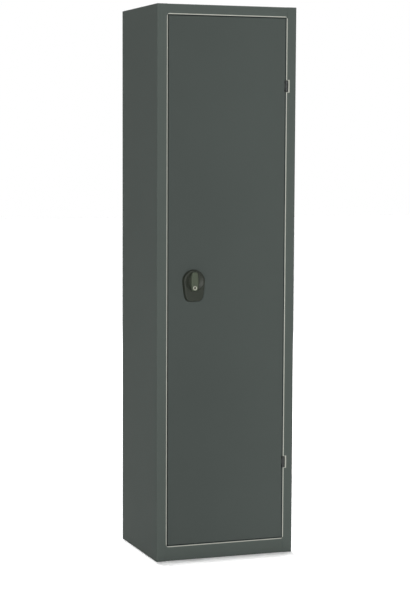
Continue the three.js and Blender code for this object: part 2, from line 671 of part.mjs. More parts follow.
// Lock rod with its rack. Drawn for the upper rod, on the left of the pinion, with the handle axis
// at z = 0. The rack has a tooth at z = 0 when the handle is at rest.
function lockRod(tipZ) {
  const pitch = Math.PI * MODULE;
  const rootX = -PITCH_R - DEDENDUM;
  const tipX = -PITCH_R + ADDENDUM;
  const halfAt = (x) => (pitch - BACKLASH) / 4 - (x + PITCH_R) * Math.tan(PRESSURE);
  const [firstTooth, lastTooth] = [-5, 1];
  const foot = firstTooth * pitch - pitch / 2;
  const shoulder = lastTooth * pitch + pitch / 2;
  const points = [[rootX - ROD.width, foot], [rootX, foot]];
  for (let i = firstTooth; i <= lastTooth; i++) {
    const z = i * pitch;
    for (const [x, sign] of [[rootX, -1], [tipX, -1], [tipX, 1], [rootX, 1]]) {
      points.push([x, z + sign * halfAt(x)]);
    }
  }
  const { taper } = ROD;
  points.push([rootX, shoulder], [rootX, tipZ - taper], [rootX - taper, tipZ]);
  points.push([rootX - ROD.width + taper, tipZ], [rootX - ROD.width, tipZ - taper]);
  const outline = new THREE.Shape(points.map(([x, z]) => new THREE.Vector2(x, z)));
  return extrude(outline, "y", [ROD.front, ROD.back]);
}

function lockCase() {
  const { halfWidth, halfHeight, back, wall } = CASE;
  const front = SHEET + FIT;
  const body = block([-halfWidth, halfWidth], [front, back], [-halfHeight, halfHeight]);
  const inside = [halfWidth - wall, halfHeight - wall];
  const hollow = block([-inside[0], inside[0]], [front + wall, back + FIT], [-inside[1], inside[1]]);
  const half = ROD.width / 2 + FIT;
  const slots = [[-ROD_X, 1], [ROD_X, -1]].map(([x, end]) => {
    const wallZ = [end * (inside[1] - FIT), end * (halfHeight + FIT)];
    return block([x - half, x + half], [ROD.front - FIT, back + FIT], wallZ);
  });
  return cut(body, [hollow, ...slots, bar("y", SPINDLE_R + FIT, [front - FIT, front + wall + FIT])]);
}

function lockCover() {
  const { halfWidth, halfHeight, back, wall, corner } = CASE;
  const y = [back + FIT, back + FIT + wall];
  const outline = roundedRectangle([-halfWidth, halfWidth], [-halfHeight, halfHeight], corner);
  const plate = extrude(outline, "y", y);
  return cut(plate, [bar("y", JOURNAL_R + FIT, [y[0] - FIT, y[1] + FIT])]);
}

function lockScrew() {
  const face = SHEET + FIT;
  const shank = bar("y", SCREW.r, [-SCREW.depth, face + SINK], 0, 0, SMALL_ROUND);
  const head = bar("y", SCREW.headR, [face, face + SCREW.headHeight], 0, 0, SMALL_ROUND);
  const top = face + SCREW.headHeight;
  const halfSlot = SCREW.slotWidth / 2;
  const reach = SCREW.headR;
  const driveSlot = block([-halfSlot, halfSlot], [top - SCREW.slotDepth, top + FIT], [-reach, reach]);
  return cut(join([shank, head]), [driveSlot]);
}

function addLock(door) {
  const lock = new THREE.Group();
  lock.position.set(HANDLE_X, 0, HANDLE_Z);
  door.add(lock);
  piece(lock, "handle_housing", handleHousing(), blackPlastic);
  piece(lock, "turn_handle", turnHandle(), greyPlastic);
  piece(lock, "cylinder_bezel", cylinderBezel(), bright, [0, 0, -CYLINDER_DROP]);
  piece(lock, "key_cylinder", keyCylinder(), bright, [0, 0, -CYLINDER_DROP]);
  piece(lock, "drive_pinion", drivePinion(), zinc);
  piece(lock, "lock_case", lockCase(), zinc);
  piece(lock, "lock_cover", lockCover(), zinc);
  for (const [name, [x, z]] of Object.entries(SCREW_PLACES)) {
    piece(lock, `lock_screw_${name}`, lockScrew(), zinc, [x, 0, z]);
  }
  piece(lock, "upper_lock_rod", lockRod(DOOR_TOP - ROD.tip - HANDLE_Z), zinc);
  const lower = piece(lock, "lower_lock_rod", lockRod(HANDLE_Z - DOOR_LOW - ROD.tip), zinc);
  lower.rotation.y = Math.PI; // the lower rod is the upper one turned half round the handle axis
  piece(lock, "upper_rod_guide", rodGuide(), zinc, [-ROD_X, 0, DOOR_TOP - GUIDE.inset - HANDLE_Z]);
  piece(lock, "lower_rod_guide", rodGuide(), zinc, [ROD_X, 0, DOOR_LOW + GUIDE.inset - HANDLE_Z]);
}

function addDoor(locker) {
  const door = new THREE.Group();
  locker.add(door);
  piece(door, "door_panel", doorPanel(), paint);
  piece(door, "door_hinge_upright", doorUpright(SIDES.right), paint);
  piece(door, "door_lock_upright", doorUpright(SIDES.left), paint);
  piece(door, "door_top_strip", doorEnd(-ROD_X, [DOOR_TOP - SHEET, DOOR_TOP]), paint);
  piece(door, "door_bottom_strip", doorEnd(ROD_X, [DOOR_LOW, DOOR_LOW + SHEET]), paint);
  piece(door, "door_stiffener", doorStiffener(), paint);
  addLock(door);
  addHinges(locker, door);
}

const part = new THREE.Group();
const locker = new THREE.Group();
locker.position.y = -(DEPTH + BEZEL_FRONT) / 2; // centres the outline, handle included, on the origin
part.add(locker);
addCarcass(locker);
addDoor(locker);

export default part;
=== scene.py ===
"""Looks of the side locker: finishes, fine meshes, studio light and camera, around the fixed frame."""

import json
import math

import bmesh
import bpy
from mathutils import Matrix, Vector


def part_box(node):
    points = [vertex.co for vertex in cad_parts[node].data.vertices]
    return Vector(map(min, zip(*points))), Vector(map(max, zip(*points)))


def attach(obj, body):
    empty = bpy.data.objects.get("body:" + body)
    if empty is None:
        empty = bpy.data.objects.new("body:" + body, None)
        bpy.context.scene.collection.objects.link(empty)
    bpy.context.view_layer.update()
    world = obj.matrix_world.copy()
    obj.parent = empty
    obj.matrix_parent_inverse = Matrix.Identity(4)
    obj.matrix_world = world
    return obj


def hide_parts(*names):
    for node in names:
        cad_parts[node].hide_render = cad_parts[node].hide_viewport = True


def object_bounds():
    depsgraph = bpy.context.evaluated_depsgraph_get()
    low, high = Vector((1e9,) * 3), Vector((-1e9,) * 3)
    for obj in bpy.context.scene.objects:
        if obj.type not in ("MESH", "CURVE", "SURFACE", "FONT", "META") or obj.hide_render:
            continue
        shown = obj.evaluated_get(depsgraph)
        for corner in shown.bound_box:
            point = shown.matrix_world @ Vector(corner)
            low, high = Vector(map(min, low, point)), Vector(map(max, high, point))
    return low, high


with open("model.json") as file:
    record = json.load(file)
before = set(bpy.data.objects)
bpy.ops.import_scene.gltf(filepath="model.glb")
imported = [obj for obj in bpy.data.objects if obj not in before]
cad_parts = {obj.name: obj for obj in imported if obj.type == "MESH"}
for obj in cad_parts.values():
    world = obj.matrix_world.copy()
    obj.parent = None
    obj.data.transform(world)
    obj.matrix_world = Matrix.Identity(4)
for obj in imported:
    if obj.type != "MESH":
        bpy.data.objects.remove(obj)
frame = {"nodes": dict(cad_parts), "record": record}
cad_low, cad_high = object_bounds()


def srgb(*values):
    """Linear colour of three 8-bit values."""
    parts = [v / 255 for v in values]
    return tuple(p / 12.92 if p <= 0.04045 else ((p + 0.055) / 1.055) ** 2.4 for p in parts)


MM = 0.001
FIT = 0.3  # millimetres between pieces that rest on each other

# Camera, solved from the corners of the locker in the photograph. Its turns are in degrees.
CAMERA_PLACE = (-2.25318, -6.13001, 1.49458)
CAMERA_TURN = (84.0689, -0.2057, -19.5951)
CAMERA_LENS = 106.028
CAMERA_SHIFT = (0.02459, 0.05385)
SENSOR = 36.0

# Light: an even surround, a row of overhead lamps with angles in degrees, and soft lamps front and rear.
SURROUND = 0.065
OVERHEAD = {"count": 8, "strength": 2.5, "spread": 0.5, "first": 0.2, "last": 2.5, "side": 0.12}
FRONT_LAMP = {"power": 725.0, "size": 4.0, "place": (-3.8, -9.2, 2.4)}
REAR_LAMP = {"power": 420.0, "size": 3.0, "place": (5.0, 5.4, 2.0)}
LAMP_TARGET = Vector((0.0, 0.0, 1.0))
WHITE = (1.0, 1.0, 1.0)
FLOOR_ALBEDO = 0.54
FLOOR_GLOW = 0.155
FLOOR_HALF = 30.0

# Door opening and hinge notches: the door from the frame, the gap and the notches as in the solids.
DOOR_LOW, DOOR_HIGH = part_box("door_panel")
FRONT_Y = DOOR_LOW.y
DOOR_GAP = 2.5 * MM
HINGES = ("upper", "lower")
HINGE_NOTCH = {"half_height": 21.5 * MM, "depth": 10.0 * MM}

# Powder coat
PAINT = srgb(84, 91, 87)
DOOR_PAINT = srgb(74, 80, 77)
CARCASS_PAINTED_LIGHT = (0.97, 1.02)  # painted light: factors at the lock side and at the hinge side
# Painted light on the door as well: a little lighter towards the hinge side
DOOR_PAINTED_LIGHT = (0.97, 1.1)
PAINT_CLOUD = {"scale": 2.2, "shades": (0.9, 1.1)}
SPECKLE = {"scale": 900.0, "share": 0.3}  # the clouds make the rest of the change in shade
PAINT_GLOSS = {"roughness": 0.6, "change": 0.16, "scale": 260.0, "level": 0.04}
PEEL = {"fine": 620.0, "fine_share": 0.12, "broad": 9.0, "strength": 0.12, "depth": 0.6 * MM}
SCRATCH = {"stretch": (14.0, 160.0, 14.0), "scale": 6.0, "detail": 4.0, "range": (0.62, 0.72)}
SCRATCH_COVER = 0.25
SCRATCH_SHADE = 1.8

# Pale edge round the door opening, and painted shade in the gap behind it
PALE = srgb(182, 184, 174)
PALE_EDGE = 4.9 * MM
PALE_BLUR = 0.5 * MM
PALE_CORNER = 6.0 * MM  # rounding of the pale edge at the corners of the opening
PALE_DEPTH = (0.6 * MM, 1.4 * MM)  # the pale edge ends between these depths
NOTCH_END_RATIO = 4.0  # the pale edge is this much thinner at the ends of a notch
# Noise that makes the pale edge patchy
PALE_PATCHES = {"scale": 40.0, "change": 0.3, "least": 0.8}
# Painted shade: a dark blue-grey laid on the jamb in the door gap, where shade falls
PAINTED_GAP_SHADE = srgb(30, 44, 50)
PAINTED_GAP_SHADE_COVER = 0.7
PAINTED_GAP_SHADE_END = (9.0 * MM, 13.0 * MM)  # the painted shade ends between these depths

# Marks on the rear: spot welds along the flanges, and a dark seam round the back panel
WELD_PITCH = 95.0 * MM
WELD_INSET = 8.0 * MM
WELD_RADIUS = (2.6 * MM, 4.6 * MM)  # flat middle and outer edge of a spot weld
WELD_DEPTH = (0.2 * MM, 0.4 * MM)  # the welds end between these depths from the rear
WELD_DENT = 5.0
WELD_COVER = 0.6
REAR_FLANGE = 15.0 * MM
SEAM_WIDTH = (1.0 * MM, 2.8 * MM)  # the seam fades out between these distances
SEAM_DEPTH = (1.8 * MM, 2.0 * MM)  # and ends between these depths
SEAM_COVER = 0.65
REAR_MARK_SHADE = 0.3

# Metals, plastics and rubber
FINE_DETAIL = 3.0
METAL_STREAK = {"stretch": (30.0, 30.0, 900.0), "scale": 3.0, "depth": 0.1 * MM}
METAL_CLOUD = {"scale": 45.0, "shades": (0.8, 1.15), "change": 0.2}
PLASTIC_GRAIN = {"scale": 1400.0, "strength": 0.25, "depth": 0.12 * MM}
PLASTIC_CLOUD = {"scale": 60.0, "shades": (0.86, 1.14), "change": 0.14}

# Fine copies of the solids
SMOOTH_ANGLE = math.radians(38)
FLAT_ANGLE = math.radians(0.5)
MERGE_REACH = 0.002 * MM
HINGE_PARTS = ("frame_leaf", "door_leaf", "pin")
EDGE_ROUND = {f"{hinge}_hinge_{part}": 0.4 * MM for hinge in HINGES for part in HINGE_PARTS}
EDGE_ROUND["door_panel"] = 0.5 * MM
EDGE_SEGMENTS = 2

# Handle, in millimetres: radii and widths from its axis, heights out from the door
HANDLE_LOW, HANDLE_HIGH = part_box("turn_handle")
HANDLE_AXIS = (HANDLE_LOW + HANDLE_HIGH) / 2
HOUSING = {"half_width": 42.6, "rise": 42.4, "drop": 74.0, "taper": 0.12, "corner": 6.0}
HOUSING_FRONT = {"height": 15.0, "edge": 3.5, "draft": 2.6}
EDGE_SHARE = 0.8  # the most of the flat rim round the dish that the rounded front edge takes
RIM_STEPS = (0.3, 0.6, 0.9, 1.0)  # shares of the way across what is left of that rim
DISH = {"mouth": 35.0, "lip": 0.6, "foot": 34.7, "floor": 4.9}
LIP_BEND = 0.3  # share of the lip at which it bends
BOWL = {"radius": 34.5, "edge": 0.8, "foot": 21.0, "curve": 1.15, "steps": 8}
BOWL_HEIGHT = {"back": 5.2, "middle": 9.2, "rim": 14.6}
GRIP = {"half": 33.9, "waist": 13.6, "top": 10.4, "foot": 11.8, "edge": 2.4, "draft": 0.4, "crown": 0.3}
GRIP_HEIGHT = {"root": 5.6, "front": 21.0}
CYLINDER = {"drop": 23.0, "ring": 8.2, "bore": 4.2, "plug": 5.9}
CYLINDER_HEIGHT = {"seat": 17.2, "plug": 20.0, "ring": 21.4}
SEAT_CLEARANCE = 3 * FIT
RING_EDGE = {"outer": 0.9, "bore": 0.5, "slope": 0.1}
PLUG_EDGE = 0.5
KEYWAY = {"half_width": 0.9, "half_height": 4.0, "floor": 17.8}
RING_POINTS = 96
SQUARENESS = 0.32  # of the corners of the grip bar and the keyway


# Small helpers for node trees
class Nodes:
    """Adds nodes to a tree and links them."""

    def __init__(self, tree):
        self.tree = tree
        tree.nodes.clear()

    def add(self, kind, inputs=None, **settings):
        node = self.tree.nodes.new(kind)
        for name, value in settings.items():
            setattr(node, name, value)
        for name, value in (inputs or {}).items():
            self.put(node.inputs[name], value)
        return node

    def put(self, socket, value):
        """Links a socket to another one, or sets it to a number or colour."""
        if isinstance(value, bpy.types.NodeSocket):
            self.tree.links.new(value, socket)
        else:
            socket.default_value = value

    def math(self, operation, *values, clamp=False):
        node = self.add("ShaderNodeMath", operation=operation, use_clamp=clamp)
        for socket, value in zip(node.inputs, values):
            self.put(socket, value)
        return node.outputs[0]

    def product(self, first, *others):
        for value in others:
            first = self.math("MULTIPLY", first, value)
        return first

    def length(self, across, up):
        squares = self.math("ADD", self.product(across, across), self.product(up, up))
        return self.math("SQRT", squares)

    def fade(self, value, low, high):
        """A smooth step from 0 at low to 1 at high, which may be the smaller of the two."""
        node = self.add("ShaderNodeMapRange", interpolation_type="SMOOTHSTEP")
        for name, number in (("Value", value), ("From Min", low), ("From Max", high)):
            self.put(node.inputs[name], number)
        return node.outputs[0]

    def around(self, noise, middle, change):
        """A number that a noise from 0 to 1 changes about its middle."""
        return self.math("MULTIPLY_ADD", noise, change, middle - change / 2)

    def mix(self, factor, first, second):
        node = self.add("ShaderNodeMix", data_type="RGBA")
        self.put(node.inputs[0], factor)
        self.put(node.inputs[6], first)
        self.put(node.inputs[7], second)
        return node.outputs[2]

    def mottled(self, noise, colour, shades):
        """A colour that a noise from 0 to 1 changes between two shades of it."""
        return self.mix(noise, *(scaled(colour, shade) for shade in shades))

    def place(self):
        return self.add("ShaderNodeTexCoord").outputs["Object"]

    def axes(self, place):
        split = self.add("ShaderNodeSeparateXYZ", {"Vector": place})
        return [split.outputs[axis] for axis in "XYZ"]

    def stretched(self, place, scale):
        return self.add("ShaderNodeMapping", {"Vector": place, "Scale": scale}).outputs[0]

    def noise(self, place, scale, detail=2.0):
        node = self.add("ShaderNodeTexNoise", {"Vector": place, "Scale": scale, "Detail": detail})
        return node.outputs["Fac"]

    def bump(self, height, strength, depth):
        inputs = {"Height": height, "Strength": strength, "Distance": depth}
        return self.add("ShaderNodeBump", inputs).outputs[0]

    def seen(self):
        """1 for the rays that show something, directly, in a reflection or through glass."""
        path = self.add("ShaderNodeLightPath")
        seen = self.math("MAXIMUM", path.outputs["Is Camera Ray"], path.outputs["Is Glossy Ray"])
        return self.math("MAXIMUM", seen, path.outputs["Is Transmission Ray"])

    def close(self, shader, output="ShaderNodeOutputMaterial"):
        """Ends the tree with a shader node."""
        self.add(output, {"Surface": shader.outputs[0]})


def scaled(colour, factor=1.0):
    """A colour made lighter or darker, with the fourth number that a socket takes."""
    return tuple(channel * factor for channel in colour) + (1.0,)


def new_material(name):
    """A material and the helper for its nodes."""
    material = bpy.data.materials.new(name)
    material.use_nodes = True
    return material, Nodes(material.node_tree)


# Powder coat
def paint_base(nodes, place, colour):
    """Powder coat colour: a faint cloudiness and a fine speckle."""
    cloud = nodes.noise(place, PAINT_CLOUD["scale"])
    speckle = nodes.noise(place, SPECKLE["scale"], detail=1.0)
    clouds = nodes.product(cloud, 1 - SPECKLE["share"])
    shade = nodes.math("ADD", clouds, nodes.product(speckle, SPECKLE["share"]))
    return nodes.mottled(shade, colour, PAINT_CLOUD["shades"])


def painted_light_to_hinge(nodes, place, x, colour, light_factors):
    """Powder coat colour with painted light, made lighter or darker by a pair of factors from the lock side
    to the hinge side.
    """
    side = nodes.fade(x, DOOR_LOW.x, DOOR_HIGH.x)
    shades = [paint_base(nodes, place, scaled(colour, factor)[:3]) for factor in light_factors]
    return nodes.mix(side, *shades)


def orange_peel(nodes, place, dents=None):
    """Uneven surface of the powder coat, over dents where there are any."""
    fine = nodes.noise(place, PEEL["fine"])
    broad = nodes.noise(place, PEEL["broad"], detail=1.0)
    height = nodes.math("ADD", nodes.product(fine, PEEL["fine_share"]), broad)
    if dents is not None:
        height = nodes.math("SUBTRACT", height, nodes.product(dents, WELD_DENT))
    return nodes.bump(height, PEEL["strength"], PEEL["depth"])


def close_paint(nodes, place, colour, dents=None):
    """Ends a material as powder coat."""
    patches = nodes.noise(place, PAINT_GLOSS["scale"])
    inputs = {
        "Base Color": colour,
        "Roughness": nodes.around(patches, PAINT_GLOSS["roughness"], PAINT_GLOSS["change"]),
        "Specular IOR Level": PAINT_GLOSS["level"],
        "Normal": orange_peel(nodes, place, dents),
    }
    nodes.close(nodes.add("ShaderNodeBsdfPrincipled", inputs))


def outside(nodes, position, low, high):
    """How far a coordinate lies beyond a span, negative inside it."""
    offset = nodes.math("ABSOLUTE", nodes.math("SUBTRACT", position, (low + high) / 2))
    return nodes.math("SUBTRACT", offset, (high - low) / 2)


def round_corner(nodes, across, up):
    """Distance outside a rectangle whose corners are rounded, from the two distances along its axes."""
    inner = [nodes.math("MAXIMUM", nodes.math("ADD", d, PALE_CORNER), 0.0) for d in (across, up)]
    return nodes.math("SUBTRACT", nodes.length(*inner), PALE_CORNER)


def opening_distance(nodes, x, z):
    """Distance outside the door opening and the two hinge notches, on the front of the frame."""
    hinge_edge = DOOR_HIGH.x + DOOR_GAP
    across = outside(nodes, x, DOOR_LOW.x - DOOR_GAP, hinge_edge)
    up = outside(nodes, z, DOOR_LOW.z - DOOR_GAP, DOOR_HIGH.z + DOOR_GAP)
    nearest = round_corner(nodes, across, up)
    across = outside(nodes, x, hinge_edge - HINGE_NOTCH["depth"], hinge_edge + HINGE_NOTCH["depth"])
    for hinge in HINGES:
        low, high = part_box(f"{hinge}_hinge_frame_leaf")
        middle = (low.z + high.z) / 2
        up = outside(nodes, z, middle - HINGE_NOTCH["half_height"], middle + HINGE_NOTCH["half_height"])
        notch = nodes.math("MAXIMUM", across, nodes.product(up, NOTCH_END_RATIO))
        nearest = nodes.math("MINIMUM", nearest, notch)
    return nearest


def edge_marks(nodes, place, x, y, z):
    """How pale the paint is round the door opening, and how much painted shade darkens the gap behind it.
    """
    distance = opening_distance(nodes, x, z)
    near = nodes.fade(distance, PALE_EDGE + PALE_BLUR, PALE_EDGE - PALE_BLUR)
    depth = nodes.math("SUBTRACT", y, FRONT_Y)
    front = nodes.fade(depth, *reversed(PALE_DEPTH))
    # The pale edge is made patchy by a noise
    pale_noise = nodes.noise(place, PALE_PATCHES["scale"])
    pale_strength = nodes.math("MULTIPLY_ADD", pale_noise, PALE_PATCHES["change"], PALE_PATCHES["least"], clamp=True)
    # Painted shade on the jamb behind the pale edge, standing in for the shade in the door gap
    behind = nodes.product(nodes.fade(depth, *PALE_DEPTH), nodes.fade(depth, *reversed(PAINTED_GAP_SHADE_END)))
    return nodes.product(near, front, pale_strength), nodes.product(near, behind, PAINTED_GAP_SHADE_COVER)


def rear_skin(nodes, y, depth):
    """1 at the very rear of the locker, fading to 0 between a pair of depths."""
    near, far = depth
    return nodes.fade(y, cad_high.y - far, cad_high.y - near)


def spot_welds(nodes, x, y, z):
    """1 in the round dents along the rear flanges, where the back panel is welded on."""
    up = nodes.math("SUBTRACT", nodes.math("MODULO", z, WELD_PITCH), WELD_PITCH / 2)
    row = cad_high.x - WELD_INSET
    across = outside(nodes, x, -row, row)
    spot = nodes.fade(nodes.length(across, up), *reversed(WELD_RADIUS))
    return nodes.product(spot, rear_skin(nodes, y, WELD_DEPTH))


def rear_seam(nodes, x, y, z):
    """1 along the inner edge of the rear flanges, where dust settles against the back panel."""
    edge = cad_high.x - REAR_FLANGE
    across = outside(nodes, x, -edge, edge)
    up = nodes.math("SUBTRACT", z, cad_high.z - REAR_FLANGE)
    distance = nodes.math("ABSOLUTE", nodes.math("MAXIMUM", across, up))
    line = nodes.fade(distance, *reversed(SEAM_WIDTH))
    return nodes.product(line, rear_skin(nodes, y, SEAM_DEPTH))


def carcass_material():
    """Powder coat with a pale edge round the door opening, painted shade in the gap behind it, painted
    light from side to side, and marks on the rear.
    """
    material, nodes = new_material("carcass_powder_coat")
    place = nodes.place()
    x, y, z = nodes.axes(place)
    pale, painted_gap_shade = edge_marks(nodes, place, x, y, z)
    # Painted light: the frame's colour changes from the lock side to the hinge side
    base = painted_light_to_hinge(nodes, place, x, PAINT, CARCASS_PAINTED_LIGHT)
    # Painted shade darkens the jamb in the door gap
    gap_shaded = nodes.mix(painted_gap_shade, base, scaled(PAINTED_GAP_SHADE))
    edged = nodes.mix(pale, gap_shaded, scaled(PALE))
    welds = spot_welds(nodes, x, y, z)
    seam = rear_seam(nodes, x, y, z)
    marks = nodes.math("MAXIMUM", nodes.product(welds, WELD_COVER), nodes.product(seam, SEAM_COVER))
    colour = nodes.mix(marks, edged, scaled(PAINT, REAR_MARK_SHADE))
    close_paint(nodes, place, colour, welds)
    return material


def door_material():
    """Powder coat of the door, with painted light that makes it a little lighter towards the hinge side."""
    material, nodes = new_material("door_powder_coat")
    place = nodes.place()
    x = nodes.axes(place)[0]
    close_paint(nodes, place, painted_light_to_hinge(nodes, place, x, DOOR_PAINT, DOOR_PAINTED_LIGHT))
    return material


def shelf_material():
    """Powder coat with light scratches along the width of the locker."""
    material, nodes = new_material("shelf_powder_coat")
    place = nodes.place()
    streaks = nodes.noise(nodes.stretched(place, SCRATCH["stretch"]), SCRATCH["scale"], SCRATCH["detail"])
    mark = nodes.product(nodes.fade(streaks, *SCRATCH["range"]), SCRATCH_COVER)
    colour = nodes.mix(mark, paint_base(nodes, place, PAINT), scaled(PAINT, SCRATCH_SHADE))
    close_paint(nodes, place, colour)
    return material


# Metals, plastics and rubber
def metal_material(name, colour, roughness, streak, metallic=1.0):
    """Metal with fine level streaks and a cloudy roughness."""
    material, nodes = new_material(name)
    place = nodes.place()
    stretched = nodes.stretched(place, METAL_STREAK["stretch"])
    lines = nodes.noise(stretched, METAL_STREAK["scale"], FINE_DETAIL)
    cloud = nodes.noise(place, METAL_CLOUD["scale"], FINE_DETAIL)
    inputs = {
        "Base Color": nodes.mottled(cloud, colour, METAL_CLOUD["shades"]),
        "Metallic": metallic,
        "Roughness": nodes.around(cloud, roughness, METAL_CLOUD["change"]),
        "Normal": nodes.bump(lines, streak, METAL_STREAK["depth"]),
    }
    nodes.close(nodes.add("ShaderNodeBsdfPrincipled", inputs))
    return material


def plastic_material(name, colour, roughness, level):
    """Moulded plastic or rubber with a spark-eroded grain."""
    material, nodes = new_material(name)
    place = nodes.place()
    cells = nodes.add("ShaderNodeTexVoronoi", {"Vector": place, "Scale": PLASTIC_GRAIN["scale"]})
    cloud = nodes.noise(place, PLASTIC_CLOUD["scale"], FINE_DETAIL)
    grain = nodes.bump(cells.outputs["Distance"], PLASTIC_GRAIN["strength"], PLASTIC_GRAIN["depth"])
    inputs = {
        "Base Color": nodes.mottled(cloud, colour, PLASTIC_CLOUD["shades"]),
        "Roughness": nodes.around(cloud, roughness, PLASTIC_CLOUD["change"]),
        "Specular IOR Level": level,
        "Normal": grain,
    }
    nodes.close(nodes.add("ShaderNodeBsdfPrincipled", inputs))
    return material


MATERIALS = {
    "carcass_paint": carcass_material(),
    "door_paint": door_material(),
    "shelf_paint": shelf_material(),
    "zinc_plate": metal_material("zinc_plate", srgb(172, 174, 170), roughness=0.38, streak=0.15),
    "hinge_steel": metal_material(
        "blackened_hinge_steel", srgb(46, 49, 48), roughness=0.55, streak=0.1, metallic=0.4
    ),
    "bright_metal": metal_material("satin_nickel", srgb(140, 142, 130), roughness=0.46, streak=0.06),
    "plug_metal": metal_material("plug_metal", srgb(86, 86, 78), roughness=0.5, streak=0.1),
    "housing_plastic": plastic_material("housing_plastic", srgb(42, 46, 39), roughness=0.47, level=0.2),
    "handle_plastic": plastic_material("handle_plastic", srgb(76, 83, 70), roughness=0.55, level=0.12),
    "buffer_rubber": plastic_material("buffer_rubber", srgb(34, 34, 34), roughness=0.8, level=0.2),
}

SLOT_OF_NODE = {row["node"]: row["material_slot"] for row in frame["record"]["subparts"]}
BODY_OF_NODE = {
    node: body for body, members in frame["record"]["behaviour"]["bodies"].items() for node in members
}


# Pieces, and fine copies of the solids: facets welded, round faces smooth, door and hinge edges rounded
def place_object(name, data):
    """A new object in the scene."""
    thing = bpy.data.objects.new(name, data)
    bpy.context.scene.collection.objects.link(thing)
    return thing


def mesh_data(name, mesh, material):
    """Turns a worked mesh into data with one material."""
    data = bpy.data.meshes.new(name)
    mesh.to_mesh(data)
    mesh.free()
    data.materials.append(material)
    return data


def is_smooth(edge):
    """Whether an edge joins two faces at a small angle."""
    return len(edge.link_faces) == 2 and edge.calc_face_angle() < SMOOTH_ANGLE


def add_piece(name, mesh, node, slot=None, replaces=True, finish=None):
    """Shades a mesh and makes it a piece on the body of a node, which it replaces unless told not to."""
    for face in mesh.faces:
        face.smooth = True
    for edge in mesh.edges:
        edge.smooth = is_smooth(edge)
    slot = slot or SLOT_OF_NODE[node]
    piece = place_object(name, mesh_data(name, mesh, MATERIALS[finish or slot]))
    even = piece.modifiers.new("even_shading", "WEIGHTED_NORMAL")
    even.keep_sharp = True
    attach(piece, BODY_OF_NODE[node])
    if replaces:
        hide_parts(node)


def fine_mesh(node):
    """The node's solid with shared corners, flat stretches as single faces, and round edges on some."""
    mesh = bmesh.new()
    mesh.from_mesh(frame["nodes"][node].data)
    bmesh.ops.remove_doubles(mesh, verts=mesh.verts, dist=MERGE_REACH)
    bmesh.ops.dissolve_limit(mesh, angle_limit=FLAT_ANGLE, verts=mesh.verts, edges=mesh.edges)
    if node in EDGE_ROUND:
        sharp = [e for e in mesh.edges if len(e.link_faces) == 2 and e.calc_face_angle() > SMOOTH_ANGLE]
        width = EDGE_ROUND[node]
        bmesh.ops.bevel(mesh, geom=sharp, offset=width, segments=EDGE_SEGMENTS, profile=0.5, affect="EDGES")
    return mesh


# Handle: rings of points, skinned into smooth shapes
def handle_point(x, height, z):
    """A point from millimetres across, out from the door and up, about the handle axis."""
    return Vector((HANDLE_AXIS.x + x * MM, FRONT_Y - height * MM, HANDLE_AXIS.z + z * MM))


def ring_angles():
    return [2 * math.pi * i / RING_POINTS for i in range(RING_POINTS)]


def squared(value):
    """A cosine or sine, pushed outwards so that a round outline becomes squarer."""
    return math.copysign(abs(value) ** SQUARENESS, value)


def level_ring(outline, height):
    """A ring of an outline's points across and up, at one height out from the door."""
    return [handle_point(x, height, z) for x, z in outline]


def turned_rings(profile, middle_z=0.0):
    """Rings of a round shape, from pairs of radius and height."""
    turns = [(math.cos(a), math.sin(a)) for a in ring_angles()]
    return [level_ring([(r * c, middle_z + r * s) for c, s in turns], height) for r, height in profile]


def rounded_edge(radius, height, edge, steps=4):
    """Pairs of radius and height round a quarter of an edge, from the side to the front."""
    turns = [math.pi / 2 * i / steps for i in range(steps + 1)]
    return [(radius - edge * (1 - math.cos(t)), height - edge + edge * math.sin(t)) for t in turns]


def loft(rings, hollow=False):
    """A skin over rings with equal numbers of points, closed by fans, or from last to first if hollow."""
    mesh = bmesh.new()
    rows = [[mesh.verts.new(point) for point in ring] for ring in rings]
    ends = [] if hollow else [rows[0], rows[-1]]
    following_rows = rows[1:] + rows[:1] if hollow else rows[1:]
    for row, following in zip(rows, following_rows):
        for i in range(RING_POINTS):
            mesh.faces.new((row[i - 1], row[i], following[i], following[i - 1]))
    for row in ends:
        middle = mesh.verts.new(sum((v.co for v in row), Vector()) / RING_POINTS)
        for i in range(RING_POINTS):
            mesh.faces.new((row[i - 1], row[i], middle))
    bmesh.ops.recalc_face_normals(mesh, faces=mesh.faces)
    return mesh


def housing_radius(angle):
    """Outline of the housing: half an ellipse above, a tapered foot with round corners below."""
    across, up = abs(math.cos(angle)), math.sin(angle)
    if up >= 0:
        return 1 / math.hypot(across / HOUSING["half_width"], up / HOUSING["rise"])
    side = (across - HOUSING["taper"] * up) / HOUSING["half_width"]
    foot = -up / HOUSING["drop"]
    return (side ** HOUSING["corner"] + foot ** HOUSING["corner"]) ** (-1 / HOUSING["corner"])


def housing_profile(angle):
    """Section of the housing from the door over its front edge and down into the dish."""
    height, draft = HOUSING_FRONT["height"], HOUSING_FRONT["draft"]
    mouth, lip = DISH["mouth"], DISH["lip"]
    rim = mouth + lip
    outer = housing_radius(angle)
    edge = min(HOUSING_FRONT["edge"], (outer - draft - rim) * EDGE_SHARE)
    points = [(outer, FIT)] + rounded_edge(outer - draft, height, edge)
    inner = points[-1][0]
    points += [(inner + (rim - inner) * share, height) for share in RIM_STEPS]
    points += [(mouth + lip * LIP_BEND, height - lip * LIP_BEND), (mouth, height - lip)]
    points += [(DISH["foot"], DISH["floor"])]
    return points


def housing_mesh():
    """Housing of the handle, with a round dish in its front."""
    columns = [
        [handle_point(r * math.cos(a), height, r * math.sin(a)) for r, height in housing_profile(a)]
        for a in ring_angles()
    ]
    return loft(list(zip(*columns)))


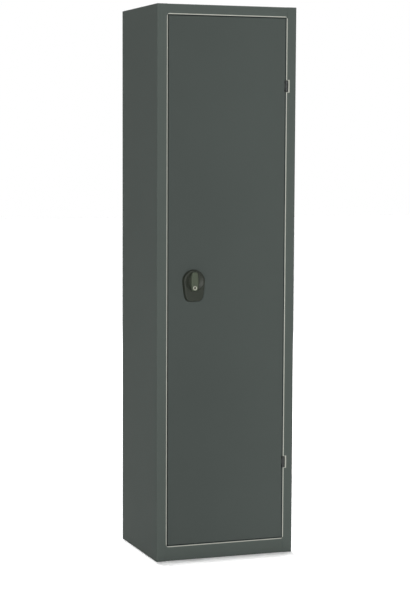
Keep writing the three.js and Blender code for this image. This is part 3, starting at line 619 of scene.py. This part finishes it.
def bowl_mesh():
    """Round plate of the handle, with a sloping wall between its rim and its flat middle."""
    radius, foot, middle = BOWL["radius"], BOWL["foot"], BOWL_HEIGHT["middle"]
    rise = BOWL_HEIGHT["rim"] - middle
    profile = [(radius, BOWL_HEIGHT["back"])] + rounded_edge(radius, BOWL_HEIGHT["rim"], BOWL["edge"])
    span = profile[-1][0] - foot
    for step in reversed(range(BOWL["steps"])):
        share = step / BOWL["steps"]
        profile.append((foot + span * share, middle + rise * share ** BOWL["curve"]))
    return loft(turned_rings(profile))


def grip_outline(inset):
    """Outline of the grip bar: widest in its middle, narrower at the top, with round corners."""
    points = []
    for angle in ring_angles():
        z = squared(math.sin(angle)) * (GRIP["half"] - inset)
        end = GRIP["top"] if z > 0 else GRIP["foot"]
        half = end + (GRIP["waist"] - end) * (1 - (z / GRIP["half"]) ** 2) - inset
        points.append((squared(math.cos(angle)) * half, z))
    return points


def seat_mouth(rim):
    """Round mouth of the cylinder's seat, with each point facing one of the bar's rim."""
    middle = -CYLINDER["drop"]
    reach = CYLINDER["ring"] + SEAT_CLEARANCE
    turns = [math.atan2(z - middle, x) for x, z in rim]
    return [(math.cos(turn) * reach, middle + math.sin(turn) * reach) for turn in turns]


def grip_mesh():
    """Grip bar with a round edge and the seat of the key cylinder."""
    front = GRIP_HEIGHT["front"]
    rounded = rounded_edge(-GRIP["draft"], front - GRIP["crown"], GRIP["edge"])
    sides = [(0.0, GRIP_HEIGHT["root"])] + [(-radius, height) for radius, height in rounded]
    rings = [level_ring(grip_outline(inset), height) for inset, height in sides]
    rim = grip_outline(sides[-1][0])
    mouth = seat_mouth(rim)
    half_way = [((x + u) / 2, (z + v) / 2) for (x, z), (u, v) in zip(rim, mouth)]
    rings += [level_ring(outline, front) for outline in (half_way, mouth)]
    rings.append(level_ring(mouth, CYLINDER_HEIGHT["seat"] - FIT))
    return loft(rings)


def ring_mesh():
    """Bright ring of the key cylinder, with round edges and a lip over the plug."""
    outer, bore, clear = CYLINDER["ring"], CYLINDER["bore"], CYLINDER["plug"] + FIT
    seat, under, front = CYLINDER_HEIGHT["seat"], CYLINDER_HEIGHT["plug"] + FIT, CYLINDER_HEIGHT["ring"]
    lip = RING_EDGE["bore"]
    profile = [(outer, seat)] + rounded_edge(outer, front, RING_EDGE["outer"])
    profile += [(bore + lip, front - RING_EDGE["slope"]), (bore, front - lip), (bore, under)]
    profile += [(clear, under), (clear, seat)]
    return loft(turned_rings(profile, -CYLINDER["drop"]), hollow=True)


def plug_mesh():
    """Plug of the key cylinder with its keyway."""
    middle, radius, front = -CYLINDER["drop"], CYLINDER["plug"], CYLINDER_HEIGHT["plug"]
    profile = [(radius, CYLINDER_HEIGHT["seat"])] + rounded_edge(radius, front, PLUG_EDGE)
    rings = turned_rings(profile, middle)
    slot = []
    for angle in ring_angles():
        x = squared(math.cos(angle)) * KEYWAY["half_width"]
        slot.append((x, middle + squared(math.sin(angle)) * KEYWAY["half_height"]))
    rings += [level_ring(slot, height) for height in (front, KEYWAY["floor"])]
    return loft(rings)


add_piece("handle_housing_fine", housing_mesh(), "handle_housing")
add_piece("grip_bar", grip_mesh(), "turn_handle")
add_piece("grip_bowl", bowl_mesh(), "turn_handle", slot="housing_plastic", replaces=False)
add_piece("cylinder_ring", ring_mesh(), "cylinder_bezel")
add_piece("cylinder_plug", plug_mesh(), "key_cylinder", finish="plug_metal")

SHAPED_ABOVE = ("handle_housing", "turn_handle", "cylinder_bezel", "key_cylinder")
for node in frame["nodes"]:
    if node not in SHAPED_ABOVE:
        add_piece(f"{node}_fine", fine_mesh(node), node)


# Stage
def add_camera():
    """Camera at the photograph's viewing angle."""
    data = bpy.data.cameras.new("camera")
    data.sensor_width = SENSOR
    data.lens = CAMERA_LENS
    data.shift_x, data.shift_y = CAMERA_SHIFT
    camera = place_object("camera", data)
    camera.location = CAMERA_PLACE
    camera.rotation_euler = [math.radians(turn) for turn in CAMERA_TURN]
    bpy.context.scene.camera = camera


def floor_material():
    """White floor that still takes the shadow: a little of its own light where it is seen."""
    material, nodes = new_material("studio_floor")
    plain = nodes.add("ShaderNodeBsdfDiffuse", {"Color": scaled(WHITE, FLOOR_ALBEDO)})
    white = nodes.add("ShaderNodeBsdfDiffuse", {"Color": scaled(WHITE)})
    glow = nodes.add("ShaderNodeEmission", {"Strength": FLOOR_GLOW})
    shown = nodes.add("ShaderNodeAddShader", {0: white.outputs[0], 1: glow.outputs[0]})
    inputs = {0: nodes.seen(), 1: plain.outputs[0], 2: shown.outputs[0]}
    nodes.close(nodes.add("ShaderNodeMixShader", inputs))
    return material


def add_floor():
    """Plain floor, wide enough to fill the view."""
    mesh = bmesh.new()
    bmesh.ops.create_grid(mesh, x_segments=1, y_segments=1, size=FLOOR_HALF)
    floor = place_object("studio_floor", mesh_data("studio_floor", mesh, floor_material()))


def add_surround():
    """Dim, even light from all round, which shows as white."""
    world = bpy.data.worlds.new("studio_surround")
    world.use_nodes = True
    nodes = Nodes(world.node_tree)
    strength = nodes.math("MULTIPLY_ADD", nodes.seen(), 1.0 - SURROUND, SURROUND)
    background = nodes.add("ShaderNodeBackground", {"Color": scaled(WHITE), "Strength": strength})
    nodes.close(background, "ShaderNodeOutputWorld")
    bpy.context.scene.world = world


def add_overhead_lamps():
    """A row of lamps leaning back, for a shadow that is soft in front and close at the sides."""
    count = OVERHEAD["count"]
    for i in range(count):
        sun = bpy.data.lights.new(f"overhead_{i}", "SUN")
        sun.energy = OVERHEAD["strength"] / count
        sun.angle = math.radians(OVERHEAD["spread"])
        lean = OVERHEAD["first"] + (OVERHEAD["last"] - OVERHEAD["first"]) * i / (count - 1)
        overhead = place_object(f"overhead_{i}", sun)
        overhead.rotation_euler = (math.radians(-lean), math.radians(OVERHEAD["side"]), 0.0)


def add_soft_lamp(name, settings):
    """A large round lamp that faces the locker."""
    soft = bpy.data.lights.new(name, "AREA")
    soft.energy = settings["power"]
    soft.shape = "DISK"
    soft.size = settings["size"]
    lamp = place_object(name, soft)
    lamp.location = settings["place"]
    lamp.rotation_euler = (LAMP_TARGET - lamp.location).to_track_quat("-Z", "Y").to_euler()


add_camera()
add_floor()
add_surround()
add_overhead_lamps()
add_soft_lamp("front_lamp", FRONT_LAMP)
add_soft_lamp("rear_lamp", REAR_LAMP)
bpy.context.scene.view_settings.view_transform = "Standard"
